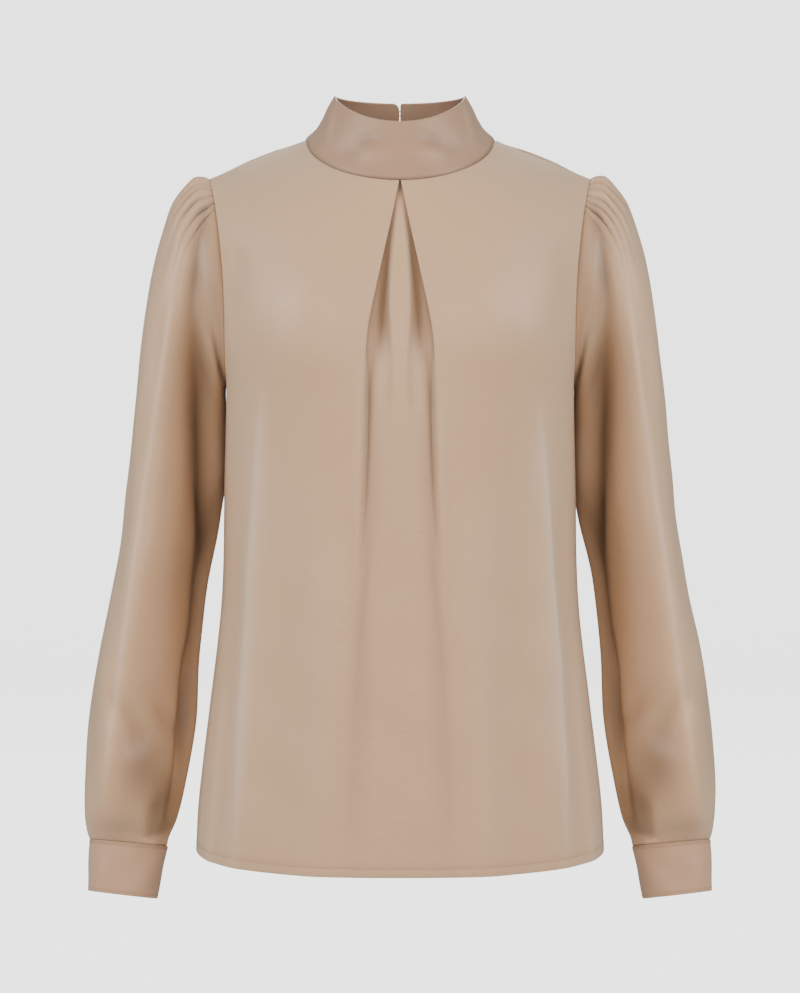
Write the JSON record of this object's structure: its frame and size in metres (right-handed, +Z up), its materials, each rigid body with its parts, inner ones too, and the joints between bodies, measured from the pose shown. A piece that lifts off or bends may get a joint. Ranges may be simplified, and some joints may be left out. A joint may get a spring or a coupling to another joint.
{
  "type": "stand-collar blouse",
  "caption": "Long-sleeved stand-collar blouse with a pleated front and gathered sleeve heads, worn form with no wearer.",
  "frame": {"origin": "midway between the two points where the neck seam meets the shoulder seams, where the wearer's shoulders hold the blouse", "axes": "+X towards the wearer's left sleeve, +Y towards the back, +Z up towards the collar"},
  "size_m": [0.5634, 0.2611, 0.7164],
  "materials": {
    "crepe": "smooth beige crepe with a soft satin sheen",
    "crepe_doubled": "the same crepe, doubled and pressed",
    "covered_button": "button covered in the same crepe",
    "loop_thread": "narrow rouleau loop of the same crepe"
  },
  "bodies": {
    "root": {"front": "crepe", "back": "crepe", "sleeve_left": "crepe", "sleeve_right": "crepe", "collar": "crepe_doubled", "cuff_left": "crepe_doubled", "cuff_right": "crepe_doubled", "collar_button_upper": "covered_button", "collar_button_lower": "covered_button", "cuff_button_left": "covered_button", "cuff_button_right": "covered_button", "collar_loop_upper": "loop_thread", "collar_loop_lower": "loop_thread"}
  },
  "joints": []
}
